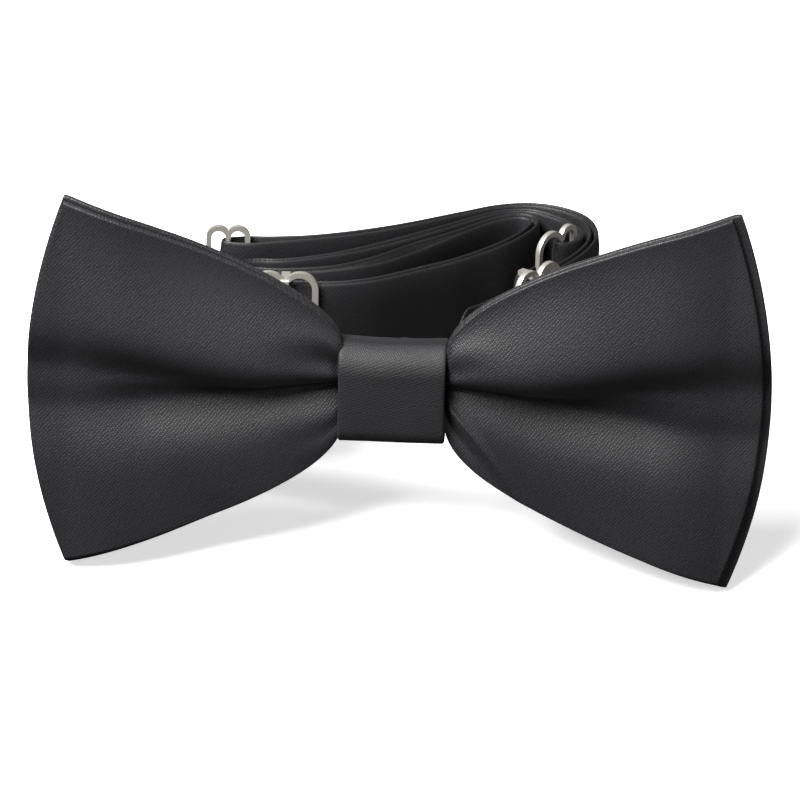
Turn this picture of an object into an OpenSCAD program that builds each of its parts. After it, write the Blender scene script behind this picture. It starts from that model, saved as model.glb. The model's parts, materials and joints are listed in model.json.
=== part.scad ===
// Pre-tied bow tie with an adjustable two-part neckband, lying on its coiled band.
// The bow is drawn upright with its knot centred on the origin: X to the right, Y to the back, Z up.
// place() then leans it back onto its lower wing corners and the rear of the coil.

/* [Bow] */
// Half width of a wing at its top and bottom corners
wing_corner_x = 54.6; // [48:0.2:56]
// How far the outer edge of a wing bows out past its corners
wing_edge_bulge = 6.2; // [2:0.2:7]
// Half height of a wing at its corners
wing_half_h = 33; // [30:0.2:35]
// Half height of the gathered waist inside the knot
waist_half_h = 6.4; // [5.8:0.1:6.5]
// How quickly a wing opens out from the knot, smaller is quicker
wing_flare = 0.54; // [0.5:0.01:0.9]
// Thickness of one satin panel
satin_t = 0.3; // [0.2:0.05:0.4]
// Thickness of the woven interlining between the panels
interlining_t = 0.4; // [0.2:0.05:0.5]
// Air left between two layers of cloth
cloth_gap = 0.05; // [0.03:0.01:0.08]

/* [Knot] */
// Width of the knot across the bow
knot_w = 17.2; // [15:0.2:19]
// Height of the knot
knot_h = 17; // [16.8:0.1:18]
// Depth of the knot from front to back
knot_d = 11; // [11:0.1:13]
// Thickness of the folded wrap
wrap_t = 0.9; // [0.7:0.05:1]

/* [Neckband] */
// Width of the band
band_w = 16.4; // [14:0.2:16.8]
// Thickness of the band
band_t = 1; // [0.9:0.05:1.05]
// Thickness of the band's satin cover
cover_t = 0.28; // [0.2:0.02:0.3]

/* [Hardware] */
// Length of a slider along the band
slider_len = 11.4; // [10:0.2:12]
// Height of a slider across the band
slider_h = 21.6; // [21:0.2:22.4]
// Thickness of the stamped metal
metal_t = 0.9; // [0.7:0.05:1]
// Diameter of the bars that the band folds round
bar_d = 0.9; // [0.7:0.05:0.9]
// Height of the hook and of the eye across the band
end_piece_h = 21.4; // [20.6:0.2:22]

/* [Hidden] */
$fn = 48;

satin_colour = "#3a393d";
satin_back_colour = "#323135";
interlining_colour = "#d8d4c8";
thread_colour = "#1c1c1e";
nickel_colour = "#c9c7c2";

// ---- bow layers ----
gather_x = knot_w / 2 + 0.4; // the cloth opens out just outside the knot
layer_t = 2 * satin_t + interlining_t + 2 * cloth_gap;
waist_y = -4.4;           // front of the face panel inside the knot
corner_y = -6.4;          // front of the face panel at the wing corners
bow_drop = 1.2;           // the bow and its knot sit this much lower than the band's middle
puff = 3;                 // how far the wings swell forward beside the knot
puff_tip = 1.8;           // and at the outer edge
crease_waist = 1.4;       // depth of the centre crease at the knot
crease_tip = 1.3;         // depth at the outer edge
crease_swell = 1.2;       // added depth beside the knot
crease_upper = 0.11;      // where the crease's two branches end, as shares of the half height
crease_lower = -0.12;
edge_curl = 1.1;          // how far the outer edges curl back
layer_gap_waist = 0.25;   // air between the two bows inside the knot
layer_gap_tip = 1.4;      // and at the outer edge
back_bow_shift = [1, -0.9];
back_bow_inset = 0.9;
interlining_trim = 0.5;    // the interlining stops this share of a cell short of the seams
columns = 30;
knot_columns = 3;
rows = 12;

function clamp01(t) = max(0, min(1, t));
function mix(a, b, t) = a + (b - a) * t;

// 0 inside the knot, 1 at the wing corners
function spread(x) = clamp01((abs(x) - gather_x) / (wing_corner_x - gather_x));
function half_height(x) = mix(waist_half_h, wing_half_h, pow(spread(x), wing_flare));

function bell(v, centre, above, below) =
    let (off = (v - centre) / (v > centre ? above : below)) exp(-off * off);

// Front of the whole bow: swelling wings with a centre crease that parts into two
function bow_front(x, z) =
    let (
        r = spread(x),
        v = (z + bow_drop) / half_height(x),
        parted = clamp01((r - 0.3) / 0.7),
        middle = -0.05 * clamp01(r / 0.3),
        crown = v > 0 ? 1 - pow(v, 1.6) : 1 - 0.75 * pow(-v, 3),
        upper = bell(v, mix(middle, crease_upper, parted), mix(0.15, 0.13, r), 0.25),
        lower = bell(v, mix(middle, crease_lower, parted), 0.09, mix(0.2, 0.12, r)),
        swelling = sin(180 * sqrt(r)),
        crease = mix(crease_waist, crease_tip, r) + crease_swell * swelling
    )
    mix(waist_y, corner_y, r) - (puff * swelling + puff_tip * r) * max(0, crown)
        + crease * (upper + 0.42 * lower) + edge_curl * pow(clamp01((r - 0.82) / 0.18), 2);

function layer_pitch(x) = layer_t + mix(layer_gap_waist, layer_gap_tip, spread(x));

// Share of a wing's length at which a column stands, 0 at the gathers and 1 at the corners
function wing_share(i) =
    pow(clamp01((abs(i) - knot_columns) / (columns / 2 - knot_columns)), 1.15);

// Where a point of a layer lies: column i counts from the middle, row j from the bottom.
// inset makes the whole layer smaller, shift moves its corners.
function layer_xz(i, v, inset, shift) =
    let (
        s = wing_share(i),
        side = sign(i),
        x = abs(i) <= knot_columns ? i / knot_columns * gather_x
            : side * mix(gather_x, wing_corner_x - inset, s),
        bulge = side * pow(s, 3) * wing_edge_bulge * pow(1 - v * v, 0.8)
    )
    [x + bulge + shift[0] * s, v * (half_height(x) - inset * s) + shift[1] * s - bow_drop];

function layer_point(i, j, inset, shift, depth) =
    let (p = layer_xz(i, 2 * j / rows - 1, inset, shift))
    [p[0], bow_front(p[0], p[1]) + depth + (norm(shift) > 0 ? layer_pitch(p[0]) : 0), p[1]];

// trim draws the outermost row and column in, by a share of their distance to the next one
function trimmed_row(i, j, inset, trim, shift, depth) =
    let (
        point = layer_point(i, j, inset, shift, depth),
        inner = layer_point(i, j == 0 ? 1 : rows - 1, inset, shift, depth)
    )
    j == 0 || j == rows ? mix(point, inner, trim) : point;

function trimmed_point(i, j, inset, trim, shift, depth) =
    abs(i) == columns / 2
        ? mix(trimmed_row(i, j, inset, trim, shift, depth),
              trimmed_row(i - sign(i), j, inset, trim, shift, depth), trim)
        : trimmed_row(i, j, inset, trim, shift, depth);

function layer_grid(inset, trim, shift, depth) = [
    for (i = [-columns / 2 : columns / 2], j = [0 : rows])
        trimmed_point(i, j, inset, trim, shift, depth)
];

function quad(a, b, c, d) = [[a, b, c], [a, c, d]];

function grid_faces(n, m) =
    let (back = (n + 1) * (m + 1), w = m + 1)
    concat(
        [for (i = [0 : n - 1], j = [0 : m - 1])
            each quad(i * w + j, i * w + j + 1, (i + 1) * w + j + 1, (i + 1) * w + j)],
        [for (i = [0 : n - 1], j = [0 : m - 1])
            each quad(back + i * w + j, back + (i + 1) * w + j,
                      back + (i + 1) * w + j + 1, back + i * w + j + 1)],
        [for (i = [0 : n - 1])
            each quad(i * w, (i + 1) * w, back + (i + 1) * w, back + i * w)],
        [for (i = [0 : n - 1])
            each quad(i * w + m, back + i * w + m, back + (i + 1) * w + m, (i + 1) * w + m)],
        [for (j = [0 : m - 1])
            each quad(j, back + j, back + j + 1, j + 1)],
        [for (j = [0 : m - 1])
            each quad(n * w + j, n * w + j + 1, back + n * w + j + 1, back + n * w + j)]
    );

module layer_sheet(inset, trim, shift, depth, thickness) {
    polyhedron(
        points = concat(layer_grid(inset, trim, shift, depth),
                        layer_grid(inset, trim, shift, depth + thickness)),
        faces = grid_faces(columns, rows),
        convexity = 8
    );
}

// ---- neckband ----
band_half = band_w / 2;
waist_band_half = 5.2;    // the band is folded narrow where it enters the knot
anchor_y = 2.2;           // where the halves are sewn behind the waist
ply = 0.575;              // half the pitch of two runs lying together
open = 1.5;               // half the pitch where an end piece's bar lies between them
fold = bar_d / 2 + cloth_gap + band_t / 2;
ring_steps = 2;
arc_steps = 8;

// Routes of the two halves from the knot to the end piece, seen from above. Each point gives
// x, y, the offsets of the fixed run and of the return run from the route, and the half width.
left_route = [
    [-0.8, anchor_y, 0, 0, waist_band_half], [-8.2, anchor_y, 0, 0, waist_band_half],
    [-10.6, 2.5, 0, 0, 6.8], [-14, 3.6, 0, 0, band_half], [-24, 5.6, 0, 0, band_half],
    [-36, 7.2, 0, 0, band_half], [-43, 8.6, 0, 0, band_half], [-46.4, 12, 0, 0, band_half],
    [-44.6, 15.4, 0, 0, band_half], [-41.6, 16.2, 0, 0, band_half], [-38, 16.2, 0, 0, band_half],
    [-28, 16.2, 0, 0, band_half], [-18, 16.2, 0, 2 * ply, band_half],
    [-14, 16.2, 0, 2 * ply, band_half], [-11, 16.6, 0, 2 * ply, band_half],
    [-7.5, 17.7, 0, 2 * ply, band_half], [-3.6, 19.6, 0, 2 * ply, band_half],
    [3, 24.2, 0, 2 * ply, band_half], [8.4, 29, -ply, ply, band_half],
    [14, 34.6, -ply, ply, band_half], [18.4, 40.4, -ply, ply, band_half],
    [20.8, 45.4, -ply, ply, band_half], [20.8, 48.6, -ply, ply, band_half],
    [18.2, 49.6, -ply, ply, band_half], [14, 47.2, -ply, ply, band_half],
    [8.4, 41.4, -0.8, 0.8, band_half], [2, 34.6, -1.5, 1.5, band_half],
    [-5, 27.6, -1.5, 1.5, band_half], [-12, 23.6, -1, 1, band_half],
    [-19.5, 22, -ply, ply, band_half], [-25, 21.9, -ply, ply, band_half],
    [-27, 22.7, -ply, ply, band_half], [-27.6, 24, -ply, ply, band_half],
    [-26.8, 25.3, -ply, ply, band_half], [-24.8, 25.9, -ply, ply, band_half],
    [-20, 26.4, -ply, ply, band_half], [-12, 29.8, -ply, ply, band_half],
    [-4, 35, -ply, ply, band_half], [4, 41.6, -ply, ply, band_half],
    [11, 47.8, -ply, ply, band_half], [16, 51.3, -ply, ply, band_half],
    [20.6, 52, -ply, ply, band_half], [24.6, 49.6, -ply, ply, band_half],
    [27.2, 46.6, -ply, ply, band_half], [28.3, 43.9, -1, 1, band_half],
    [27.9, 41.2, -open, open, band_half], [26, 38.8, -fold, fold, band_half]
];
left_return_from = 13;    // route point where the return run starts beside the slider

right_route = [
    [0.8, anchor_y, 0, 0, waist_band_half], [8.2, anchor_y, 0, 0, waist_band_half],
    [9.7, 3.9, 0, 0, 5.8], [11.2, 7.8, 0, 0, band_half], [13, 10.2, 0, 0, band_half],
    [16, 14.2, 0, 0, band_half], [19, 18.2, 0, 0, band_half],
    [22, 22.2, 0, 2 * ply, band_half], [25, 26.2, 0, 2 * ply, band_half],
    [27.4, 29.4, 0, 2 * ply, band_half], [29.8, 33.8, 0, 2 * ply, band_half],
    [31.2, 38.8, -0.3, 0.85, band_half], [31.4, 44, -ply, ply, band_half],
    [29.8, 49.2, -ply, ply, band_half], [26.2, 52.8, -ply, ply, band_half],
    [21, 54.7, -ply, ply, band_half], [15, 53.7, -ply, ply, band_half],
    [8, 49.4, -ply, ply, band_half], [0, 44.2, -ply, ply, band_half],
    [-8, 40, -ply, ply, band_half], [-16, 36.8, -ply, ply, band_half],
    [-22.6, 35.1, -1, 1, band_half], [-27.2, 34.4, -open, open, band_half],
    [-30.6, 34.2, -fold, fold, band_half]
];
right_return_from = 9;

// Catmull-Rom curve through the route points, and the direction it runs in
function at(route, i) = route[max(0, min(len(route) - 1, i))];
function curve(route, i, t) =
    let (a = at(route, i - 1), b = at(route, i), c = at(route, i + 1), d = at(route, i + 2))
    0.5 * (2 * b + (c - a) * t + (2 * a - 5 * b + 4 * c - d) * t * t + (3 * b - a - 3 * c + d) * t * t * t);
function slope(route, i, t) =
    let (a = at(route, i - 1), b = at(route, i), c = at(route, i + 1), d = at(route, i + 2))
    (c - a) + 2 * (2 * a - 5 * b + 4 * c - d) * t + 3 * (3 * b - a - 3 * c + d) * t * t;
function unit(v) = v / norm(v);
function left_of(d) = [-d[1], d[0]];

// One ring of a run: its centre, the direction across its thickness and its half width
function run_ring(route, i, t, side) =
    let (p = curve(route, i, t), s = slope(route, i, t), n = left_of(unit([s[0], s[1]])))
    [[p[0], p[1]] + n * p[side], n, p[4]];

function run(route, from, side) = [
    for (i = [from : len(route) - 2], k = [0 : ring_steps - 1]) run_ring(route, i, k / ring_steps, side)
];
function route_heading(route) =
    let (s = slope(route, len(route) - 2, 1)) unit([s[0], s[1]]);
function route_end(route) = let (p = route[len(route) - 1]) [p[0], p[1]];

// The half turn round an end piece's bar, from the fixed run to the return run
function bar_fold(route) =
    let (h = route_heading(route), n = left_of(h), c = route_end(route))
    [for (k = [0 : arc_steps])
        let (a = 180 * k / arc_steps, dir = -n * cos(a) + h * sin(a))
        [c + dir * fold, -dir, band_half]];

fixed_side = 2;
return_side = 3;
function fixed_run(route) = concat(run(route, 0, fixed_side), bar_fold(route));
function return_run(route, from) =
    let (end_gap = 0.8)
    concat(
        [for (i = [from : len(route) - 3], k = [0 : ring_steps - 1])
            run_ring(route, i, k / ring_steps, return_side)],
        [run_ring(route, len(route) - 2, 0, return_side),
         run_ring(route, len(route) - 2, end_gap, return_side)]
    );

function ring_corners(ring, half_t, trim) =
    let (c = ring[0], n = ring[1] * half_t, h = ring[2] - trim)
    [[c[0] - n[0], c[1] - n[1], -h], [c[0] + n[0], c[1] + n[1], -h],
     [c[0] + n[0], c[1] + n[1], h], [c[0] - n[0], c[1] - n[1], h]];

function skin_faces(rings, first, flip) = [
    for (i = [0 : rings - 2], k = [0 : 3])
        let (a = first + 4 * i + k, b = first + 4 * i + (k + 1) % 4)
        each flip ? quad(a, b, b + 4, a + 4) : quad(a, a + 4, b + 4, b)
];

module solid_strip(rings, half_t, trim) {
    last = 4 * (len(rings) - 1);
    polyhedron(
        points = [for (r = rings) each ring_corners(r, half_t, trim)],
        faces = concat(
            skin_faces(len(rings), 0, false),
            quad(0, 1, 2, 3),
            quad(last + 3, last + 2, last + 1, last)
        ),
        convexity = 12
    );
}

module hollow_strip(rings, half_t, wall) {
    inner = 4 * len(rings);
    last = inner - 4;
    polyhedron(
        points = concat(
            [for (r = rings) each ring_corners(r, half_t, 0)],
            [for (r = rings) each ring_corners(r, half_t - wall, wall)]
        ),
        faces = concat(
            skin_faces(len(rings), 0, false),
            skin_faces(len(rings), inner, true),
            [for (k = [0 : 3])
                let (n = (k + 1) % 4)
                each quad(k, n, inner + n, inner + k)],
            [for (k = [0 : 3])
                let (n = (k + 1) % 4)
                each quad(last + k, inner + last + k, inner + last + n, last + n)]
        ),
        convexity = 12
    );
}

// ---- hardware ----
slider_gap = 0.22;                          // play between a slider and the run it slides on
lobe_r = slider_len / 4 + 0.2;              // end radius of one lobe of a slider
lobe_x = slider_len / 2 - lobe_r;
rim = 0.95;
web = 2.3;                                  // the wide rim of the lobe that is pushed
plate_y = -(band_t / 2 + slider_gap + metal_t);
loop_y = 2 * ply;                           // the sewn loop starts in line with the return run
loop_r = bar_d / 2 + cloth_gap;
bar_y = loop_y + band_t / 2 + loop_r;
leg_z = slider_h / 2 - lobe_r + sqrt(lobe_r * lobe_r - lobe_x * lobe_x) - metal_t;
loop_leg = 4.6;

left_slider_at = [-19.6, 16.2];
left_slider_turn = 0;
right_slider_at = [21.7, 21.8];
right_slider_turn = atan2(4, 3);

// Stadium standing on end: half width r, half height h
module stadium(r, h) {
    square([2 * r, 2 * (h - r)], center = true);
    for (s = [-1, 1]) translate([0, s * (h - r)]) circle(r);
}

module slider_frame(wide_end) {
    rotate([90, 0, 0]) translate([0, 0, -plate_y - metal_t]) linear_extrude(metal_t) difference() {
        for (s = [-1, 1]) translate([s * lobe_x, 0]) stadium(lobe_r, slider_h / 2);
        for (s = [-1, 1])
            translate([s * (lobe_x - 0.1), 0])
                stadium(lobe_r - rim, slider_h / 2 - (s == wide_end ? web : rim));
        square([2 * (lobe_x - 0.1), 2 * leg_z - 0.02], center = true);
    }
    for (s = [-1, 1])
        translate([0, (plate_y + bar_y) / 2, s * (leg_z + metal_t / 2)])
            cube([1.4, bar_y - plate_y + bar_d, metal_t], center = true);
    translate([0, bar_y, 0]) cylinder(d = bar_d, h = 2 * leg_z + metal_t, center = true);
}

// The end of the band folded round a slider's bar, seen from above
module slider_fold() {
    translate([0, 0, -band_half]) linear_extrude(band_w) {
        difference() {
            translate([0, bar_y]) circle(loop_r + band_t);
            translate([0, bar_y]) circle(loop_r);
            translate([0, bar_y - 5]) square([10, 10]);
        }
        translate([0, loop_y - band_t / 2]) square([loop_leg + 0.4, band_t]);
        translate([0, bar_y + loop_r]) square([loop_leg, band_t]);
    }
}

module slider_tack() {
    for (i = [-6 : 6])
        translate([loop_leg - 1.2, bar_y + loop_r + band_t + 0.12, i * 1.1])
            rotate([0, 35, 0])
                cylinder(d = 0.2, h = 1.3, center = true);
}

module at_left_slider() {
    translate([left_slider_at[0], left_slider_at[1], 0]) rotate([0, 0, left_slider_turn]) children();
}

module at_right_slider() {
    translate([right_slider_at[0], right_slider_at[1], 0]) rotate([0, 0, right_slider_turn]) children();
}

// Figure of eight in flat wire: one lobe over the band, one beyond it, and the bar between
module end_piece(band_lobe, free_lobe, wire) {
    half = end_piece_h / 2;
    bar_half = band_half + 0.2;
    translate([0, metal_t / 2, 0]) rotate([90, 0, 0]) linear_extrude(metal_t) difference() {
        union() {
            translate([-(band_lobe - wire) / 2, 0]) stadium(band_lobe / 2, half);
            translate([(free_lobe - wire) / 2, 0]) stadium(free_lobe / 2, half);
        }
        translate([-(band_lobe - wire) / 2, 0]) stadium(band_lobe / 2 - wire, half - wire);
        translate([(free_lobe - wire) / 2, 0]) stadium(free_lobe / 2 - wire, half - wire);
        square([2 * wire, 2 * bar_half], center = true);
    }
    cylinder(d = wire, h = 2 * bar_half + 0.2, center = true);
}

module at_route_end(route) {
    h = route_heading(route);
    c = route_end(route);
    translate([c[0], c[1], 0]) rotate([0, 0, atan2(h[1], h[0])]) children();
}

// ---- resting place ----
coil_back = [for (r = fixed_run(right_route)) r[0][1]];
coil_back_y = max(coil_back) + band_t / 2;
rest_corner = layer_point(columns / 2, 0, back_bow_inset, back_bow_shift, layer_t);
lean = atan2(-band_half - rest_corner[2], coil_back_y - rest_corner[1]);

function leaned(p) = [p[0], p[1] * cos(lean) + p[2] * sin(lean), p[2] * cos(lean) - p[1] * sin(lean)];

outline = [
    for (p = concat(layer_grid(0, 0, [0, 0], 0),
                    layer_grid(back_bow_inset, 0, back_bow_shift, layer_t))) leaned(p)
];
span_x = [min([for (p = outline) p[0]]), max([for (p = outline) p[0]])];
span_y = [min([for (p = outline) p[1]]), leaned([0, coil_back_y, band_half])[1]];
floor_z = leaned(rest_corner)[2];
shift = [-(span_x[0] + span_x[1]) / 2, -(span_y[0] + span_y[1]) / 2, -floor_z];

module place() {
    translate(shift) rotate([-lean, 0, 0]) children();
}

// ---- front bow ----
module front_bow_face() {
    color(satin_colour) place() layer_sheet(0, 0, [0, 0], 0, satin_t);
}

module front_bow_interlining() {
    color(interlining_colour) place()
        layer_sheet(0, interlining_trim, [0, 0], satin_t + cloth_gap, interlining_t);
}

module front_bow_backing() {
    color(satin_back_colour) place()
        layer_sheet(0, 0, [0, 0], satin_t + interlining_t + 2 * cloth_gap, satin_t);
}

// ---- back bow ----
module back_bow_face() {
    color(satin_colour) place() layer_sheet(back_bow_inset, 0, back_bow_shift, 0, satin_t);
}

module back_bow_interlining() {
    color(interlining_colour) place()
        layer_sheet(back_bow_inset, interlining_trim, back_bow_shift, satin_t + cloth_gap,
                    interlining_t);
}

module back_bow_backing() {
    color(satin_back_colour) place()
        layer_sheet(back_bow_inset, 0, back_bow_shift, satin_t + interlining_t + 2 * cloth_gap, satin_t);
}

// ---- waist and knot ----
thread_d = 0.4;
thread_turns = 5;
bind_front = waist_y - 0.1 - thread_d;
bind_back = bow_front(0, -bow_drop) + layer_pitch(0) + layer_t + 0.1 + thread_d;
knot_y = 1.5 * waist_y + knot_d / 2;   // middle of the knot's depth
knot_corner = 2.8;

// Rounded rectangle seen from the side of the knot: depth by height
module rounded(depth, height, r) {
    square([depth - 2 * r, height], center = true);
    square([depth, height - 2 * r], center = true);
    for (sx = [-1, 1], sy = [-1, 1])
        translate([sx * (depth / 2 - r), sy * (height / 2 - r)]) circle(r);
}

// Band of the given wall round a rounded rectangle, extruded along X and centred on y
module side_loop(depth, height, r, wall, width, y) {
    translate([-width / 2, y, -bow_drop]) rotate([90, 0, 90]) linear_extrude(width) difference() {
        rounded(depth, height, r);
        rounded(depth - 2 * wall, height - 2 * wall, r - wall);
    }
}

module waist_binding_thread() {
    color(thread_colour) place()
        for (i = [0 : thread_turns - 1])
            translate([(i - (thread_turns - 1) / 2) * (thread_d + 0.08), 0, 0])
                side_loop(bind_back - bind_front, 2 * (waist_half_h + 0.08 + thread_d), 0.7, thread_d,
                          thread_d, (bind_front + bind_back) / 2);
}

module knot_wrap() {
    color(satin_colour) place() side_loop(knot_d, knot_h, knot_corner, wrap_t, knot_w, knot_y);
}

module knot_interlining() {
    wall = 0.3;
    inset = wrap_t + cloth_gap;
    color(interlining_colour) place()
        side_loop(knot_d - 2 * inset, knot_h - 2 * inset, knot_corner - inset, wall, knot_w - 1.6,
                  knot_y);
}

module knot_seam_stitches() {
    stitch = 1.5;
    pitch = 2.6;
    color(thread_colour) place()
        for (i = [-2 : 2])
            translate([i * pitch, knot_y + 0.8, -bow_drop - knot_h / 2 - 0.11])
                rotate([0, 90, 0])
                    cylinder(d = 0.2, h = stitch, center = true);
}

// ---- neckband halves ----
module left_band_cover() {
    color(satin_colour) place() hollow_strip(fixed_run(left_route), band_t / 2, cover_t);
}

module left_band_interlining() {
    color(interlining_colour) place()
        solid_strip(fixed_run(left_route), band_t / 2 - cover_t - cloth_gap, cover_t + cloth_gap);
}

module left_return_run() {
    color(satin_colour) place() solid_strip(return_run(left_route, left_return_from), band_t / 2, 0);
}

module right_band_cover() {
    color(satin_colour) place() hollow_strip(fixed_run(right_route), band_t / 2, cover_t);
}

module right_band_interlining() {
    color(interlining_colour) place()
        solid_strip(fixed_run(right_route), band_t / 2 - cover_t - cloth_gap, cover_t + cloth_gap);
}

module right_return_run() {
    color(satin_colour) place() solid_strip(return_run(right_route, right_return_from), band_t / 2, 0);
}

// Rows of stitches that hold both halves behind the waist
module band_anchor_stitches() {
    color(thread_colour) place()
        for (side = [-1, 1], i = [-2 : 2])
            translate([side * 4, anchor_y + band_t / 2 + 0.12, i * 1.8])
                rotate([0, 90, 0])
                    cylinder(d = 0.2, h = 4, center = true);
}

// ---- sliders ----
module left_slider() {
    color(nickel_colour) place() at_left_slider() slider_frame(-1);
}

module left_slider_loop() {
    color(satin_colour) place() at_left_slider() slider_fold();
}

module left_slider_stitches() {
    color(thread_colour) place() at_left_slider() slider_tack();
}

module right_slider() {
    color(nickel_colour) place() at_right_slider() slider_frame(1);
}

module right_slider_loop() {
    color(satin_colour) place() at_right_slider() slider_fold();
}

module right_slider_stitches() {
    color(thread_colour) place() at_right_slider() slider_tack();
}

// ---- hook and eye ----
module eye() {
    color(nickel_colour) place() at_route_end(right_route) end_piece(4.2, 4.2, bar_d);
}

module hook() {
    lobe = 6.6;
    tongue_w = 3;
    tongue_gap = 1.1;
    color(nickel_colour) place() at_route_end(left_route) {
        end_piece(4.2, lobe, bar_d);
        translate([lobe - 1.4 * bar_d, -metal_t / 2 - tongue_gap - metal_t, -tongue_w / 2])
            cube([0.9 * bar_d, 2 * metal_t + tongue_gap, tongue_w]);
        translate([lobe - 4.6, -metal_t / 2 - tongue_gap - metal_t, -tongue_w / 2])
            cube([3.6, metal_t, tongue_w]);
    }
}

front_bow_face();
front_bow_interlining();
front_bow_backing();
back_bow_face();
back_bow_interlining();
back_bow_backing();
waist_binding_thread();
knot_wrap();
knot_interlining();
knot_seam_stitches();
left_band_cover();
left_band_interlining();
left_return_run();
right_band_cover();
right_band_interlining();
right_return_run();
band_anchor_stitches();
left_slider();
left_slider_loop();
left_slider_stitches();
right_slider();
right_slider_loop();
right_slider_stitches();
hook();
eye();
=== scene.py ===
"""Looks of a pre-tied satin bow tie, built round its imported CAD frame.

The bow stands in its own axes (X across, Y back, Z up, millimetres, origin in the middle of the
knot); BowAxes turns those into the frame's metres, with the bow leaning on its wing corners.
"""

import json
import logging
import math
from dataclasses import dataclass
from enum import Enum

import bpy
import numpy as np
from mathutils import Matrix, Vector


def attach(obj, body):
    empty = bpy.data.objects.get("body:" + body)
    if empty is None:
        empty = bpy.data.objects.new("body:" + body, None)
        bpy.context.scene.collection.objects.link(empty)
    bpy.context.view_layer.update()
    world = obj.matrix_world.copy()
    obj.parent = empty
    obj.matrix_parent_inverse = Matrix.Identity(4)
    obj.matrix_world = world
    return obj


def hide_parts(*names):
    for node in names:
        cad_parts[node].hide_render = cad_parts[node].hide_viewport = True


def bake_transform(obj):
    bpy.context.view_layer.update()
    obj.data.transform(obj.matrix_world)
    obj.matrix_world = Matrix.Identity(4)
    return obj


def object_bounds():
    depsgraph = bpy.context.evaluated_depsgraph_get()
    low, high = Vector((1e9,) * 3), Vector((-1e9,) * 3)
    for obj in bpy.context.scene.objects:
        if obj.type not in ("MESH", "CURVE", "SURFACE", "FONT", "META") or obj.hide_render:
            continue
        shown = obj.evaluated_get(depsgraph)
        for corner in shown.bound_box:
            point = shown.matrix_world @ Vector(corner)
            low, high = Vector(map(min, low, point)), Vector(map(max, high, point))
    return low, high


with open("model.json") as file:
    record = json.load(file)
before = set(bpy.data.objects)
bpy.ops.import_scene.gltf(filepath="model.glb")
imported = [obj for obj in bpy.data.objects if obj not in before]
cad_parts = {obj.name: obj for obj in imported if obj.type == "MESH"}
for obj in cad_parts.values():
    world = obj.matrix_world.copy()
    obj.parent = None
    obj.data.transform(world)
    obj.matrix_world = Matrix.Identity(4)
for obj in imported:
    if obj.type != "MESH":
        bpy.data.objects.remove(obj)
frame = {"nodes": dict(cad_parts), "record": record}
CAD_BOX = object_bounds()

Array = np.ndarray
Node = bpy.types.Node
Piece = bpy.types.Object
Socket = bpy.types.NodeSocket
Tree = bpy.types.NodeTree

LOG = logging.getLogger("bow_tie")
MM = 0.001
FIXED_BODY = "bow_and_band"


class Side(Enum):
    """The two halves of the bow and of its band, seen from the front."""

    LEFT = -1
    RIGHT = 1

    def of(self, pair: tuple) -> object:
        """Picks this half's own value from a pair for left and right."""
        return pair[self is Side.RIGHT]


class Weave(Enum):
    """Which way the diagonal of the satin weave runs on a piece, in degrees from its length."""

    WING = -40.0
    KNOT = 30.0
    STRAP = 40.0


def linear(hex_colour: str) -> tuple[float, float, float, float]:
    """Turns an sRGB hex colour into the linear colour that the shaders use.

    Args:
        hex_colour: A colour such as "#2a292c".

    Returns:
        Red, green, blue and alpha, linear.
    """
    channels = [int(hex_colour[i : i + 2], 16) / 255 for i in (1, 3, 5)]
    curved = [c / 12.92 if c <= 0.04045 else ((c + 0.055) / 1.055) ** 2.4 for c in channels]
    return (curved[0], curved[1], curved[2], 1.0)


def link(piece: Piece) -> None:
    """Links an object to the scene."""
    bpy.context.scene.collection.objects.link(piece)


def add_node(tree: Tree, kind: str, inputs: dict | None = None, **settings) -> Node:
    """Adds one node to a tree, sets it up and links it.

    Args:
        tree: The node tree to add to.
        kind: The node's type, without its "ShaderNode" prefix.
        inputs: Values or output sockets for the node's inputs, by name or number.
        **settings: Attributes to set on the node.

    Returns:
        The new node.
    """
    made = tree.nodes.new("ShaderNode" + kind)
    for name, value in settings.items():
        setattr(made, name, value)
    for name, value in (inputs or {}).items():
        if isinstance(value, Socket):
            tree.links.new(value, made.inputs[name])
        else:
            made.inputs[name].default_value = value
    return made


def two_tone(
    tree: Tree, shader: Node, share: Socket, dark: str, light: str
) -> None:
    """Colours a shader from dark to light as a pattern rises."""
    colour = add_node(tree, "Mix", {"Factor": share, 6: linear(dark), 7: linear(light)}, data_type="RGBA")
    tree.links.new(colour.outputs[2], shader.inputs["Base Color"])


def emboss(
    tree: Tree, shader: Node, height: Socket, depth_mm: float, strength: float
) -> None:
    """Raises a shader's surface as a pattern rises, by a depth in millimetres."""
    relief = add_node(tree, "Bump", {"Height": height, "Distance": depth_mm * MM, "Strength": strength})
    tree.links.new(relief.outputs["Normal"], shader.inputs["Normal"])


def settle(shader: Node, **values: float | tuple) -> None:
    """Sets a shader's uniform inputs, named as in the shader with _ for each space."""
    for name, value in values.items():
        shader.inputs[name.replace("_", " ")].default_value = value


def clamp01(values: Array) -> Array:
    """Keeps values between 0 and 1."""
    return np.clip(values, 0.0, 1.0)


def mix(a: float, b: float, t: Array) -> Array:
    """Blends from a to b as t goes from 0 to 1."""
    return a + (b - a) * t


def smooth(values: Array) -> Array:
    """Eases from 0 to 1 as values do, and stays there beyond them."""
    t = clamp01(values)
    return t * t * (3 - 2 * t)


def bump(values: Array, centre: float, width: float, width_below: float | None = None) -> Array:
    """A soft bell of height 1 round a centre, which may be wider on its lower side."""
    below = width if width_below is None else width_below
    return np.exp(-(((values - centre) / np.where(values > centre, width, below)) ** 2))


# ---- axes ----


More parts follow.
